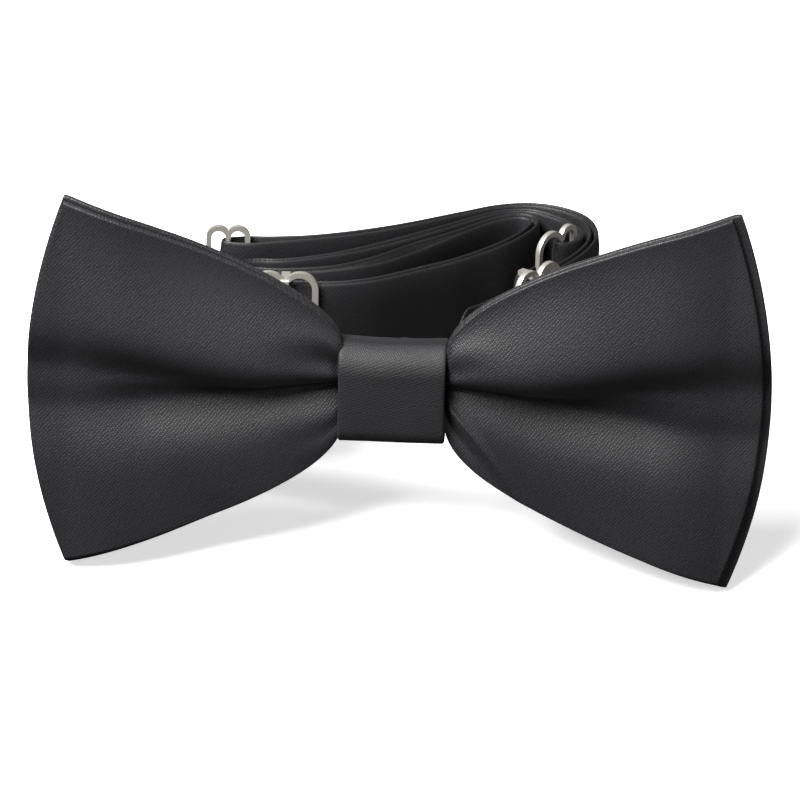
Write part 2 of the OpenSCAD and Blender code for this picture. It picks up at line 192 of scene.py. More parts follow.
@dataclass(frozen=True)
class BowAxes:
    """Where the bow's own axes stand in the frame.

    Args:
        origin: The middle of the knot, metres.
        back: The direction from the bow's face to its back.
        up: The direction up the bow.
    """

    origin: Vector
    back: Vector
    up: Vector

    @classmethod
    def from_collar_mount(cls) -> "BowAxes":
        """Works the axes out from the mount on the knot's flat back.

        Returns:
            The axes.
        """
        knot_back_mm = 4.4
        mount = next(m for m in frame["record"]["mounts"] if m["name"] == "collar_face")
        back = Vector(mount["axis"]).normalized()
        up = Vector((0.0, -back.z, back.y))
        drop_mm = 1.2
        knot_back = Vector(mount["pos_m"])
        return cls(knot_back - (back * knot_back_mm - up * drop_mm) * MM, back, up)

    def place(self, points: Array) -> Array:
        """Turns points in the bow's millimetres into the frame's metres.

        Args:
            points: X, Y and Z in the last place.

        Returns:
            The same points in the frame.
        """
        across = np.array((1.0, 0.0, 0.0))
        turned = (
            points[..., :1] * across
            + points[..., 1:2] * np.array(self.back)
            + points[..., 2:3] * np.array(self.up)
        )
        return np.array(self.origin) + turned * MM


AXES = BowAxes.from_collar_mount()


# ---- meshes ----


def make_piece(
    name: str, points: Array, faces: list, coords: Array, finish: "Finish"
) -> Piece:
    """Makes one smooth mesh piece.

    Args:
        name: The piece's name.
        points: Its corners in the bow's millimetres, one row each.
        faces: Its faces as tuples of corner numbers.
        coords: Where each corner lies on the cloth or metal, in millimetres.
        finish: What it is made of.

    Returns:
        The piece, linked to the scene.
    """
    mesh = bpy.data.meshes.new(name)
    mesh.from_pydata(AXES.place(points).tolist(), [], faces)
    layer = mesh.uv_layers.new(name="cloth")
    corners = np.empty(len(mesh.loops), dtype=np.int32)
    mesh.loops.foreach_get("vertex_index", corners)
    layer.data.foreach_set("uv", (coords[corners] * MM).astype(np.float32).ravel())
    mesh.polygons.foreach_set("use_smooth", [True] * len(mesh.polygons))
    mesh.materials.append(finish.material())
    mesh.validate()
    piece = bpy.data.objects.new(name, mesh)
    link(piece)
    return piece


def grid_quads(rows: int, columns: int, first: int, flip: bool, wrap: bool = False) -> list:
    """Faces of a grid of corners.

    Args:
        rows: Number of rows of corners.
        columns: Number of corners in a row.
        first: Number of the first corner.
        flip: Whether the faces look the other way.
        wrap: Whether the last column joins the first.

    Returns:
        The quads as tuples of corner numbers.
    """
    quads = []
    for i in range(rows - 1):
        for j in range(columns if wrap else columns - 1):
            k = (j + 1) % columns
            quad = [first + i * columns + j, first + i * columns + k]
            quad += [first + (i + 1) * columns + k, first + (i + 1) * columns + j]
            quads.append(tuple(quad[::-1] if flip else quad))
    return quads


def closed_sheet(front: Array, back: Array, coords: Array) -> tuple:
    """Joins two grids of points along their rims into one closed sheet.

    Args:
        front: Grid of front points, rows by columns by 3.
        back: The same grid on the back.
        coords: Where each point lies on the cloth, rows by columns by 2.

    Returns:
        Points, faces and cloth coordinates.
    """
    rows, columns = front.shape[:2]
    count = rows * columns
    faces = grid_quads(rows, columns, 0, False) + grid_quads(rows, columns, count, True)
    rim = list(range(columns)) + [i * columns + columns - 1 for i in range(1, rows)]
    rim += [(rows - 1) * columns + j for j in range(columns - 2, -1, -1)]
    rim += [i * columns for i in range(rows - 2, 0, -1)]
    for a, b in zip(rim, rim[1:] + rim[:1]):
        faces.append((b, a, a + count, b + count))
    points = np.concatenate([front.reshape(-1, 3), back.reshape(-1, 3)])
    flat = coords.reshape(-1, 2)
    return points, faces, np.concatenate([flat, flat])


# ---- finishes ----


@dataclass(frozen=True)
class Finish:
    """What a piece is made of. Each kind of finish fills in its own shader."""

    name: str

    def material(self) -> bpy.types.Material:
        """Gives the finish's material, made the first time it is asked for.

        Returns:
            The material.
        """
        found = bpy.data.materials.get(self.name)
        if found:
            return found
        made = bpy.data.materials.new(self.name)
        made.use_nodes = True
        made.node_tree.nodes.clear()
        shader = add_node(made.node_tree, "BsdfPrincipled")
        add_node(made.node_tree, "OutputMaterial", {"Surface": shader.outputs["BSDF"]})
        self.fill(made.node_tree, shader)
        return made

    def fill(self, tree: Tree, shader: Node) -> None:
        """Sets the shader up. The plain finish leaves it alone."""


def wave_scale(pitch: float) -> float:
    """Scale of a Wave texture whose bands lie a pitch in metres apart."""
    return math.pi / 10 / pitch


@dataclass(frozen=True)
class Satin(Finish):
    """Polyester satin, woven with long floats on its face.

    The floats lie in fine diagonal rows that break up into specks, and they give the broad, soft
    shine that slides over the folds. The real rows are about 0.1 mm apart, too fine to show, so
    they are drawn at the pitch given.

    Args:
        dark: Colour between the floats.
        light: Colour of the floats.
        diagonal: Which way the rows run.
        pitch_mm: Distance between rows.
        relief_mm: How far the floats stand up.
        roughness: Roughness of the shine.
        sheen: Weight of the fuzz that lightens the cloth edge-on.
    """

    dark: str = "#111012"
    light: str = "#2c2b2f"
    diagonal: Weave = Weave.WING
    pitch_mm: float = 0.36
    relief_mm: float = 0.045
    roughness: float = 0.47
    sheen: float = 0.04

    def fill(self, tree: Tree, shader: Node) -> None:
        """Draws rows of floats, broken up and slightly uneven, into colour, shine and relief.

        Args:
            tree: The material's node tree.
            shader: Its shader.
        """
        cloth = add_node(tree, "TexCoord").outputs["UV"]
        pitch = self.pitch_mm * MM
        sets = []
        for turn, spacing, waver in ((0.0, pitch, 2.6), (82.0, pitch * 1.35, 5.0)):
            angle = math.radians(self.diagonal.value + turn)
            turned = add_node(tree, "Mapping", {"Vector": cloth, "Rotation": (0, 0, angle)}).outputs["Vector"]
            wave = {"Vector": turned, "Scale": wave_scale(spacing), "Distortion": waver}
            wave |= {"Detail": 3.0, "Detail Scale": 2.4}
            sets.append(add_node(tree, "TexWave", wave).outputs["Fac"])
        lattice = add_node(tree, "Math", {0: sets[0], 1: sets[1]}, operation="MULTIPLY").outputs[0]
        grain = {"Vector": cloth, "Scale": 0.9 / pitch, "Detail": 2.0}
        specks = add_node(tree, "TexNoise", grain).outputs["Fac"]
        broken = add_node(tree, "Math", {0: lattice, 1: specks}, operation="MULTIPLY").outputs[0]
        spread = {"Value": broken, "From Min": 0.02, "From Max": 0.34}
        floats = add_node(tree, "MapRange", spread).outputs["Result"]
        # dye and tension vary a little over a few centimetres
        patches = add_node(tree, "TexNoise", {"Vector": cloth, "Scale": 45.0, "Detail": 3.0}).outputs["Fac"]
        tone = {"Value": patches, "To Min": -0.12, "To Max": 0.12}
        toned = add_node(tree, "MapRange", tone).outputs["Result"]
        share = add_node(tree, "Math", {0: floats, 1: toned}, operation="ADD", use_clamp=True).outputs[0]
        two_tone(tree, shader, share, self.dark, self.light)
        shine = {"Value": share, "To Min": self.roughness + 0.07, "To Max": self.roughness - 0.05}
        tree.links.new(add_node(tree, "MapRange", shine).outputs["Result"], shader.inputs["Roughness"])
        emboss(tree, shader, floats, self.relief_mm, 0.7)
        settle(shader, Sheen_Weight=self.sheen, Sheen_Roughness=0.45, IOR=1.5)


@dataclass(frozen=True)
class Canvas(Finish):
    """Plain-woven interlining, unbleached cotton and polyester, which shows as a fine dull check."""

    dark: str = "#b9b3a2"
    light: str = "#dcd8cb"
    pitch_mm: float = 0.6

    def fill(self, tree: Tree, shader: Node) -> None:
        """Crosses two sets of threads.

        Args:
            tree: The material's node tree.
            shader: Its shader.
        """
        cloth = add_node(tree, "TexCoord").outputs["UV"]
        wave = {"Vector": cloth, "Scale": wave_scale(self.pitch_mm * MM), "Distortion": 0.6}
        sets = [
            add_node(tree, "TexWave", wave, bands_direction=direction).outputs["Fac"]
            for direction in ("X", "Y")
        ]
        crossed = add_node(tree, "Math", {0: sets[0], 1: sets[1]}, operation="MULTIPLY").outputs[0]
        two_tone(tree, shader, crossed, self.dark, self.light)
        emboss(tree, shader, crossed, 0.08, 0.6)
        settle(shader, Roughness=0.85)


@dataclass(frozen=True)
class SewingThread(Finish):
    """Two-ply polyester sewing thread, whose plies wind round each other in a slant."""

    dark: str = "#141315"
    light: str = "#3a383c"
    ply_pitch_mm: float = 0.35

    def fill(self, tree: Tree, shader: Node) -> None:
        """Winds the plies as slanting bands.

        Args:
            tree: The material's node tree.
            shader: Its shader.
        """
        along = add_node(tree, "TexCoord").outputs["Object"]
        wave = {"Vector": along, "Scale": wave_scale(self.ply_pitch_mm * MM), "Distortion": 0.4}
        plies = add_node(tree, "TexWave", wave, bands_direction="DIAGONAL").outputs["Fac"]
        two_tone(tree, shader, plies, self.dark, self.light)
        emboss(tree, shader, plies, 0.06, 0.8)
        settle(shader, Roughness=0.55, Sheen_Weight=0.2)


@dataclass(frozen=True)
class NickelPlate(Finish):
    """Bright nickel plate on stamped steel: a warm mirror with a barrel-tumbled softness.

    Args:
        clean: Colour of the plate.
        dull: Colour where handling has dulled it.
        roughness: Roughness of the clean plate.
    """

    clean: str = "#f2eee4"
    dull: str = "#d6d0c2"
    roughness: float = 0.3

    def fill(self, tree: Tree, shader: Node) -> None:
        """Dulls the plate in small patches and gives it the faint ripple of tumbled stampings.

        Args:
            tree: The material's node tree.
            shader: Its shader.
        """
        place = add_node(tree, "TexCoord").outputs["Object"]
        wear = add_node(tree, "TexNoise", {"Vector": place, "Scale": 420.0, "Detail": 4.0}).outputs["Fac"]
        patches = {"Value": wear, "From Min": 0.4, "From Max": 0.72}
        dulled = add_node(tree, "MapRange", patches).outputs["Result"]
        two_tone(tree, shader, dulled, self.clean, self.dull)
        rough = {"Value": dulled, "To Min": self.roughness, "To Max": self.roughness + 0.16}
        tree.links.new(add_node(tree, "MapRange", rough).outputs["Result"], shader.inputs["Roughness"])
        ripple = add_node(tree, "TexNoise", {"Vector": place, "Scale": 900.0, "Detail": 1.0}).outputs["Fac"]
        emboss(tree, shader, ripple, 0.03, 0.35)
        settle(shader, Metallic=0.76)


@dataclass(frozen=True)
class Paper(Finish):
    """Matt white background paper with barely visible fibres."""

    white: str = "#f7f7f7"

    def fill(self, tree: Tree, shader: Node) -> None:
        """Leaves the paper plain but for its fibres.

        Args:
            tree: The material's node tree.
            shader: Its shader.
        """
        place = add_node(tree, "TexCoord").outputs["Object"]
        fibres = add_node(tree, "TexNoise", {"Vector": place, "Scale": 350.0, "Detail": 4.0}).outputs["Fac"]
        emboss(tree, shader, fibres, 0.05, 0.1)
        white = linear(self.white)
        settle(shader, Base_Color=white, Emission_Color=white, Emission_Strength=0.6)
        settle(shader, Roughness=0.95, Specular_IOR_Level=0.1)


WING_SATIN = Satin("wing_polyester_satin")
BACK_SATIN = Satin("wing_back_polyester_satin", dark="#161517", light="#252427", sheen=0.08)
KNOT_SATIN = Satin(
    "knot_polyester_satin", dark="#0e0d0f", light="#242327", diagonal=Weave.KNOT, roughness=0.56
)
# The band's satin is the wing satin with a darker light tone: painted shade for the band, which lies in shade
# behind the bow.
SHADED_STRAP_SATIN = Satin(
    "strap_polyester_satin", dark="#121113", light="#242326", diagonal=Weave.STRAP, pitch_mm=0.3
)
INTERLINING = Canvas("woven_interlining")
THREAD = SewingThread("polyester_sewing_thread")
NICKEL = NickelPlate("bright_nickel_plate")


# ---- bow ----


@dataclass(frozen=True)
class Gather:
    """A small fold that runs from the knot out into a wing and dies away.

    Args:
        start: Height where it leaves the knot, as a share of the wing's half height.
        drift: How far that share moves towards the middle as the fold runs out.
        width: Its half width, as the same share.
        height: How far it stands forward, mm. A negative one is a hollow.
        reach: How far out it runs, as a share of the wing's length.
    """

    start: float
    drift: float
    width: float
    height: float
    reach: float


@dataclass
class WingShape:
    """The swelling, creased surface that both layers of the bow follow, in millimetres.

    Heights on a wing are shares v of its half height, and lengths are shares r of the way from
    the knot to the corners.
    """

    gather_x: float = 8.4
    corner_x: float = 54.6
    edge_bulge: float = 6.2
    waist_half_height: float = 6.4
    drop: float = 1.2
    flare: float = 0.54
    waist_y: float = -4.4
    corner_y: float = -6.4
    puff: float = 3.4
    puff_tip: float = 3.0
    crease_waist: float = 1.6
    crease_tip: float = 4.2
    crease_swell: float = 2.1
    edge_curl: float = 1.9
    lower_lift: float = 1.9
    # the rest are for the left and the right wing
    corner_half_height: tuple[float, float] = (31.8, 32.3)
    corner_drop: tuple[float, float] = (1.8, 1.3)
    branch_up: tuple[float, float] = (0.17, 0.16)
    branch_down: tuple[float, float] = (-0.05, -0.1)
    gathers: tuple[tuple[Gather, ...], tuple[Gather, ...]] = (
        (
            Gather(0.78, 0.16, 0.13, 0.55, 0.16),
            Gather(0.42, 0.1, 0.16, -1.1, 0.2),
            Gather(-0.5, -0.1, 0.16, 0.35, 0.2),
            Gather(-0.86, -0.1, 0.12, 0.35, 0.14),
        ),
        (
            Gather(0.7, 0.2, 0.16, 0.5, 0.17),
            Gather(0.36, 0.05, 0.12, -0.45, 0.14),
            Gather(-0.3, 0.5, 0.08, 0.9, 0.2),
            Gather(-0.62, 0.3, 0.1, -0.5, 0.2),
        ),
    )

    def spread(self, x: Array) -> Array:
        """0 inside the knot, 1 at the wing corners."""
        return clamp01((np.abs(x) - self.gather_x) / (self.corner_x - self.gather_x))

    def half_height(self, x: Array) -> Array:
        """Half the height of a wing at a place along the bow."""
        corner = np.where(x < 0, *self.corner_half_height)
        return mix(self.waist_half_height, corner, self.spread(x) ** self.flare)

    def below(self, x: Array) -> Array:
        """How far the middle of a wing lies below the middle of the band."""
        corner = np.where(x < 0, *self.corner_drop)
        return mix(self.drop, corner, self.spread(x))

    def crease(self, v: Array, r: Array, side: Side) -> Array:
        """Depth of the centre crease, one sharp fold at the knot that opens into two troughs.

        Args:
            v: Heights, as shares of the half height.
            r: Places along the wing, as shares of its length.
            side: Which wing it is.

        Returns:
            How far back the crease sinks at each place, mm.
        """
        # the troughs part beyond a fifth of the wing
        parted = smooth((r - 0.2) / 0.8)
        middle = -0.09 * clamp01(r / 0.3)
        centre = middle + side.of(self.branch_up) * parted
        upper = bump(v, centre, mix(0.18, 0.145, r), mix(0.34, 0.28, r))
        lower = bump(v, middle + side.of(self.branch_down) * parted, 0.09, mix(0.26, 0.2, r))
        # the lower half of a wing is tucked in behind the upper half
        tucked = mix(0.92, 0.52, smooth(r / 0.8)) * (v < centre)
        upper = mix(upper, 1 - ((centre - v) / (1 + centre)) ** 2, tucked)
        depth = mix(self.crease_waist, self.crease_tip, r) + self.crease_swell * np.sin(math.pi * r**0.7)
        depth = depth * (1 - 0.45 * smooth((r - 0.7) / 0.35))
        # the sharp fold dies out by the middle of the wing, where a thin ridge parts the troughs
        fold = np.exp(-np.abs(v - middle) / 0.035) * 0.8 * np.exp(-((r / 0.42) ** 2))
        pinch = smooth((r - 0.25) / 0.25) * (1 - smooth((r - 0.7) / 0.25))
        ridge = 0.45 * pinch * np.exp(-np.abs(v - middle - 0.11) / 0.022)
        return depth * (upper + mix(0.42, 0.3, parted) * lower) + fold - ridge

    def depth(self, x: Array, z: Array) -> Array:
        """How far back the front of the bow lies at a place.

        Args:
            x: Places across the bow.
            z: Places up the bow.

        Returns:
            The Y of the cloth at each place.
        """
        r = self.spread(x)
        v = (z + self.below(x)) / self.half_height(x)
        y = mix(self.waist_y, self.corner_y, r)
        swell = self.puff * np.sin(math.pi * np.sqrt(r)) + self.puff_tip * r
        crown = np.where(v > 0, (1 - clamp01(v * v)) ** 2, 1 - 0.8 * np.abs(v) ** 2.5)
        y = y - swell * np.maximum(0.0, crown)
        y = y - self.lower_lift * clamp01(-v) ** 2 * smooth((r - 0.3) / 0.7)
        # the outer quarter curls back
        y = y + self.edge_curl * clamp01((r - 0.76) / 0.24) ** 2
        for side in Side:
            mine = np.where(np.sign(x) == side.value, 1.0, 0.0)
            y = y + mine * self.crease(v, r, side)
            for fold in side.of(self.gathers):
                centre = fold.start - fold.drift * r / fold.reach
                fade = np.exp(-((r / fold.reach) ** 2)) * clamp01(r / 0.02)
                y = y - mine * fold.height * fade * np.exp(-(((v - centre) / fold.width) ** 2))
        # slack cloth is never quite even
        slack = 0.16 * np.sin(x / 6.1 + 0.7) * np.sin(z / 7.3 + x / 17 + 0.4)
        slack = slack + 0.07 * np.sin(x / 2.9 + z / 4.1)
        return y + slack * clamp01(r / 0.15)


@dataclass
class BowLayer:
    """One of the two flat bows that lie on each other: a face and a backing, sewn round an interlining.

    Args:
        name: What the layer's pieces are called after.
        finish: Its satin.
        inset: How much smaller than the front bow it is.
        shift: How far its corners are moved: both across, the left ones up, the right ones up.
        behind_waist: How far behind the front bow it lies at the knot.
        behind_tip: And at the corners.
        flat_size: Width and height of the cloth it is cut from, metres. Not used.
    """

    name: str
    shape: WingShape
    finish: Satin
    inset: float = 0.0
    shift: tuple[float, float, float] = (0.0, 0.0, 0.0)
    behind_waist: float = 0.0
    behind_tip: float = 0.0
    satin_t: float = 0.3
    interlining_t: float = 0.4
    cloth_gap: float = 0.05
    rolled_edge: float = 0.3
    interlining_trim: float = 1.5
    inner_columns: int = 70
    inner_rows: int = 56
    flat_size: tuple[float, float] = (0.124, 0.07)
    edge_steps: tuple[float, ...] = (0.0, 0.08, 0.25, 0.5, 0.8, 1.1, 1.7, 2.6)

    def layout(self, trim: float) -> tuple[Array, Array, Array]:
        """Spreads the grid over the layer, close together along its rolled edges.

        Args:
            trim: How far the sheet stops short of the layer's edge.

        Returns:
            X and Z of each grid point and its distance from the nearest sewn edge.
        """
        shape = self.shape
        inset = self.inset + trim
        reach = shape.corner_x - inset - shape.gather_x
        steps = np.array(self.edge_steps) / reach
        outer = 1 - steps[::-1]
        wing = np.linspace(0.0, 1.0, self.inner_columns)[:-1] ** 1.15 * outer[0]
        s_half = np.concatenate([wing, outer])
        knot = np.linspace(-shape.gather_x, shape.gather_x, 9)[1:-1]
        right = shape.gather_x + s_half * reach
        base_x = np.concatenate([-right[::-1], knot, right])
        s = np.concatenate([s_half[::-1], np.zeros(len(knot)), s_half])
        side = np.sign(base_x)
        half = shape.half_height(base_x) - self.inset * s - trim
        edge = np.array(self.edge_steps)
        v_steps = edge[None, :] / half[:, None]
        top = 1 - v_steps[:, ::-1]
        inner = np.linspace(-1.0, 1.0, self.inner_rows)[None, 1:-1] * top[:, :1]
        v = np.concatenate([-top[:, ::-1], inner, top], axis=1)
        raised = np.where(base_x < 0, self.shift[1], self.shift[2])
        bulge = (side * s**3 * shape.edge_bulge)[:, None] * np.maximum(0, 1 - v * v)
        x = base_x[:, None] + bulge + (self.shift[0] * s)[:, None]
        z = v * half[:, None] + (raised * s - shape.below(base_x))[:, None]
        to_side = (1 - s)[:, None] * (reach + shape.edge_bulge * np.maximum(0, 1 - v * v))
        to_top = (1 - np.abs(v)) * half[:, None]
        away = np.minimum(to_side, to_top)
        return x, z, away

    def sheet(
        self, part: str, depth: float, thickness: float, roll: float, trim: float, finish: Finish
    ) -> Piece:
        """Makes one sheet of the layer.

        Args:
            part: What the sheet is called.
            depth: How far behind the layer's front it starts.
            thickness: How thick it is.
            roll: How far its edge turns back into the seam. Negative turns forward.
            trim: How far it stops short of the edge.
            finish: What it is made of.

        Returns:
            The piece.
        """
        x, z, away = self.layout(trim)
        r = self.shape.spread(x)
        y = self.shape.depth(x, z) + mix(self.behind_waist, self.behind_tip, r)
        turn = 1 - np.sqrt(1 - (1 - clamp01(away / self.rolled_edge)) ** 2)
        y = y + depth + roll * turn
        front = np.stack([x, y, z], axis=-1)
        back = np.stack([x, y + thickness, z], axis=-1)
        points, faces, coords = closed_sheet(front, back, np.stack([x, z], axis=-1))
        piece = make_piece(f"{self.name}_{part}_cloth", points, faces, coords, finish)
        return piece

    def build(self) -> list[Piece]:
        """Makes the face, the interlining and the backing and ties them to the frame.

        Returns:
            The three pieces.
        """
        inner = self.satin_t + self.cloth_gap
        middle = inner + self.interlining_t / 2
        behind = inner + self.interlining_t + self.cloth_gap
        roll = middle - self.satin_t
        made = [
            self.sheet("face", 0.0, self.satin_t, roll, 0.0, self.finish),
            self.sheet("interlining", inner, self.interlining_t, 0.0, self.interlining_trim, INTERLINING),
            self.sheet("backing", behind, self.satin_t, -roll, 0.0, BACK_SATIN),
        ]
        for piece, slot in zip(made, ("satin", "interlining", "satin")):
            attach(piece, FIXED_BODY)
            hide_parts(piece.name.removesuffix("_cloth"))
        return made


# ---- knot ----


@dataclass
class Knot:
    """The folded wrap that gathers the waist: a loop of satin with rounded sides."""

    width: float = 17.9
    height: float = 17.8
    depth: float = 10.4
    corner_r: tuple[float, ...] = (5.2, 2.6, 2.6, 3.4)
    centre_y: float = -1.4
    drop: float = 1.9
    wrap_t: float = 0.9
    crown: float = 0.25
    dip: float = 0.6
    fall: float = 0.22
    taper: float = 0.1
    side_r: float = 0.42
    centre_x: float = -0.35

    def path(self) -> tuple[Array, Array, Array]:
        """Runs round the outside of the loop, seen from the side.

        Returns:
            Depth and height of each point, the outward direction there, and the length so far.
        """
        signs = ((-1, 1, 90.0), (-1, -1, 180.0), (1, -1, 270.0), (1, 1, 0.0))
        corners = [
            (sy * (self.depth / 2 - r), sz * (self.height / 2 - r), start, r)
            for (sy, sz, start), r in zip(signs, self.corner_r)
        ]
        points, outward = [], []
        arc = np.radians(np.linspace(0, 90, 15))
        for k, (cy, cz, start, r) in enumerate(corners):
            for a in np.radians(start) + arc:
                points.append((cy + r * math.cos(a), cz + r * math.sin(a)))
                outward.append((math.cos(a), math.sin(a)))
            following = corners[(k + 1) % 4]
            a = math.radians(following[2])
            end = (following[0] + following[3] * math.cos(a), following[1] + following[3] * math.sin(a))
            start_point = points[-1]
            for t in np.linspace(0, 1, 15)[1:-1]:
                points.append((mix(start_point[0], end[0], t), mix(start_point[1], end[1], t)))
                outward.append((math.cos(a), math.sin(a)))
        points = np.array(points)
        gaps = np.linalg.norm(np.diff(points, axis=0, append=points[:1]), axis=1)
        return points, np.array(outward), np.concatenate([[0], np.cumsum(gaps)[:-1]])

    def section(self, width: float, wall: float) -> tuple[Array, Array]:
        """Cross-section of a loop: how far across it each point lies, and how deep below its face.

        Args:
            width: The loop's width.
            wall: Its thickness.

        Returns:
            Both measures of each point, in millimetres.
        """
        r, half = min(self.side_r, wall / 2), width / 2
        turn = np.radians(np.linspace(90, -90, 9))
        flat = np.linspace(-1, 1, 25)[1:-1] * (half - r)
        right = [(half - r + r * math.cos(a), wall / 2 * (1 - math.sin(a))) for a in turn]
        left = [(-x, t) for x, t in right[::-1]]
        outer = [(x, 0.0) for x in flat]
        inner = [(x, wall) for x in flat[::-1]]
        loop = np.array(outer + right + inner + left)
        return loop[:, 0], loop[:, 1]

    def loop(self, name: str, inset: float, wall: float, width: float, finish: Finish) -> Piece:
        """Makes one loop of cloth round the waist.

        Args:
            name: The piece's name.
            inset: How far below the knot's outside it lies.
            wall: Its thickness.
            width: Its width across the bow.
            finish: What it is made of.

        Returns:
            The piece.
        """
        points, outward, length = self.path()
        across, below = self.section(width, wall)
        share = across / (self.width / 2)
        rows = []
        for (y, z), (ny, nz), s in zip(points, outward, length):
            # the knot narrows a little downwards and is pinched at its middle
            low = clamp01(0.5 - z / self.height)
            narrow = 1 - self.taper * low / (self.width / 2) - 0.012 * bump(z, 0.0, 5.0)
            lift = self.crown * (1 - share**2) - self.dip * clamp01(nz) * (1 - share**2)
            lift = lift - self.dip * 0.4 * clamp01(-nz) * (1 - share**2)
            wrinkle = 0.06 * math.sin(s / 1.9) * np.cos(across / 5) + 0.05 * np.sin(across / 2.3 + s / 3.1)
            reach = lift + wrinkle * clamp01(-ny) - below - inset
            y_out = self.centre_y + y + ny * reach
            # its top falls away towards the back
            sunk = self.fall * max(0.0, y + self.depth / 2 - 3.4) * clamp01(z / 4)
            z_out = z - self.drop - sunk + nz * reach
            rows.append(np.stack([self.centre_x + across * narrow, y_out, z_out], axis=-1))
        count = len(across)
        faces = []
        for i in range(len(rows)):
            after = (i + 1) % len(rows)
            for j in range(count):
                k = (j + 1) % count
                faces.append((i * count + j, after * count + j, after * count + k, i * count + k))
        coords = np.array([(x, s) for s in length for x in across])
        piece = make_piece(name, np.concatenate(rows), faces, coords, finish)
        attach(piece, FIXED_BODY)
        # the middle of the cloth's thickness runs inside the knot's outside
        return piece

    def build(self) -> list[Piece]:
        """Makes the wrap and its lining and ties them to the frame.

        Returns:
            Both pieces.
        """
        wrap = self.loop("knot_wrap_satin", 0.0, self.wrap_t, self.width, KNOT_SATIN)
        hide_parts("knot_wrap")
        lining = self.loop("knot_lining_cloth", self.wrap_t + 0.05, 0.3, self.width - 1.6, INTERLINING)
        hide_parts("knot_interlining")
        return [wrap, lining]


# ---- neckband ----


PLY = 0.575  # half the pitch of two plies that lie on each other
OPEN = 1.5  # half the gap of the two runs just before an end piece
FOLD = 1.0  # half their gap where they fold round its bar
HALF = 8.2  # half the band's width


@dataclass
class Route:
    """The way a half of the band is coiled, seen from above, from the knot to its end piece.

    Each point gives x and y, then how far the fixed run and the return run lie to the left of the
    route if they don't lie on it, and the half width of the band where it isn't the whole one.
    """

    points: tuple[tuple[float, ...], ...]
    return_from: int
    steps: int = 8

    def __post_init__(self) -> None:
        """Fills in what the points leave out."""
        self.points = tuple((*p, *(0, 0, HALF)[len(p) - 2 :]) for p in self.points)

    def sample(self, i: int, t: float) -> tuple[Array, Array]:
        """A place on the Catmull-Rom curve through the points, and its direction.

        Args:
            i: The point that the place follows.
            t: How far it is on the way to the next, 0 to 1.

        Returns:
            The place's five numbers and the heading there.
        """
        last = len(self.points) - 1
        a, b, c, d = (np.array(self.points[max(0, min(last, i + k))]) for k in (-1, 0, 1, 2))
        place = b + 0.5 * ((c - a) * t + (2 * a - 5 * b + 4 * c - d) * t * t)
        place = place + 0.5 * (3 * b - a - 3 * c + d) * t**3
        slope = (c - a) + 2 * (2 * a - 5 * b + 4 * c - d) * t + 3 * (3 * b - a - 3 * c + d) * t * t
        return place, slope[:2] / np.linalg.norm(slope[:2])

    def run(self, which: int, start: int, end: int | None = None) -> Array:
        """Centreline of one run.

        Args:
            which: 2 for the fixed run, 3 for the return run.
            start: Route point where it starts.
            end: Route point where it ends, or the route's own end.

        Returns:
            X, y and half width, one row each.
        """
        end = len(self.points) - 1 if end is None else end
        places = [(i, k / self.steps) for i in range(start, end) for k in range(self.steps)]
        if end == len(self.points) - 1:
            places.append((end - 1, 1.0))
        rows = []
        for i, t in places:
            place, heading = self.sample(i, t)
            left = np.array((-heading[1], heading[0]))
            rows.append((*(place[:2] + left * place[which]), place[4]))
        return np.array(rows)

    def round_the_bar(self) -> Array:
        """Half turn round the end piece's bar, from the fixed run to the return run.

        Returns:
            X, y and half width, one row each.
        """
        place, heading = self.sample(len(self.points) - 2, 1.0)
        left = np.array((-heading[1], heading[0]))
        fold = place[3]
        turns = np.radians(np.linspace(0, 180, 17)[1:-1])
        centres = [place[:2] + fold * (heading * math.sin(a) - left * math.cos(a)) for a in turns]
        return np.array([(*c, place[4]) for c in centres])


LEFT_ROUTE = Route(
    (
        (-0.8, 2.2, 0, 0, 5.2), (-8.2, 2.2, 0, 0, 5.2), (-10.6, 2.5, 0, 0, 6.8),
        (-14, 3.6), (-24, 5.6), (-36, 7.2),
        (-43, 8.6), (-46.4, 12), (-44.6, 15.4),
        (-41.6, 16.2), (-38, 16.2), (-28, 16.2),
        (-18, 16.2, 0, 2 * PLY), (-14, 16.2, 0, 2 * PLY),
        (-11, 16.6, 0, 2 * PLY), (-7.5, 17.7, 0, 2 * PLY),
        (-3.6, 19.6, 0, 2 * PLY), (3, 24.2, 0, 2 * PLY),
        (8.4, 29, -PLY, PLY), (14, 34.6, -PLY, PLY), (18.4, 40.4, -PLY, PLY),
        (20.8, 45.4, -PLY, PLY), (20.8, 48.6, -PLY, PLY),
        (18.2, 49.6, -PLY, PLY), (14, 47.2, -PLY, PLY), (8.4, 41.4, -0.8, 0.8),
        (2, 34.6, -1.5, 1.5), (-5, 27.6, -1.5, 1.5), (-12, 23.6, -1, 1),
        (-19.5, 22, -PLY, PLY), (-25, 21.9, -PLY, PLY), (-27, 22.7, -PLY, PLY),
        (-27.6, 24, -PLY, PLY), (-26.8, 25.3, -PLY, PLY),
        (-24.8, 25.9, -PLY, PLY), (-20, 26.4, -PLY, PLY),
        (-12, 29.8, -PLY, PLY), (-4, 35, -PLY, PLY), (4, 41.6, -PLY, PLY),
        (11, 47.8, -PLY, PLY), (16, 51.3, -PLY, PLY), (20.6, 52, -PLY, PLY),
        (24.6, 49.6, -PLY, PLY), (27.2, 46.6, -PLY, PLY), (28.3, 43.9, -1, 1),
        (27.9, 41.2, -OPEN, OPEN), (26, 38.8, -FOLD, FOLD),
    ),
    return_from=13,
)

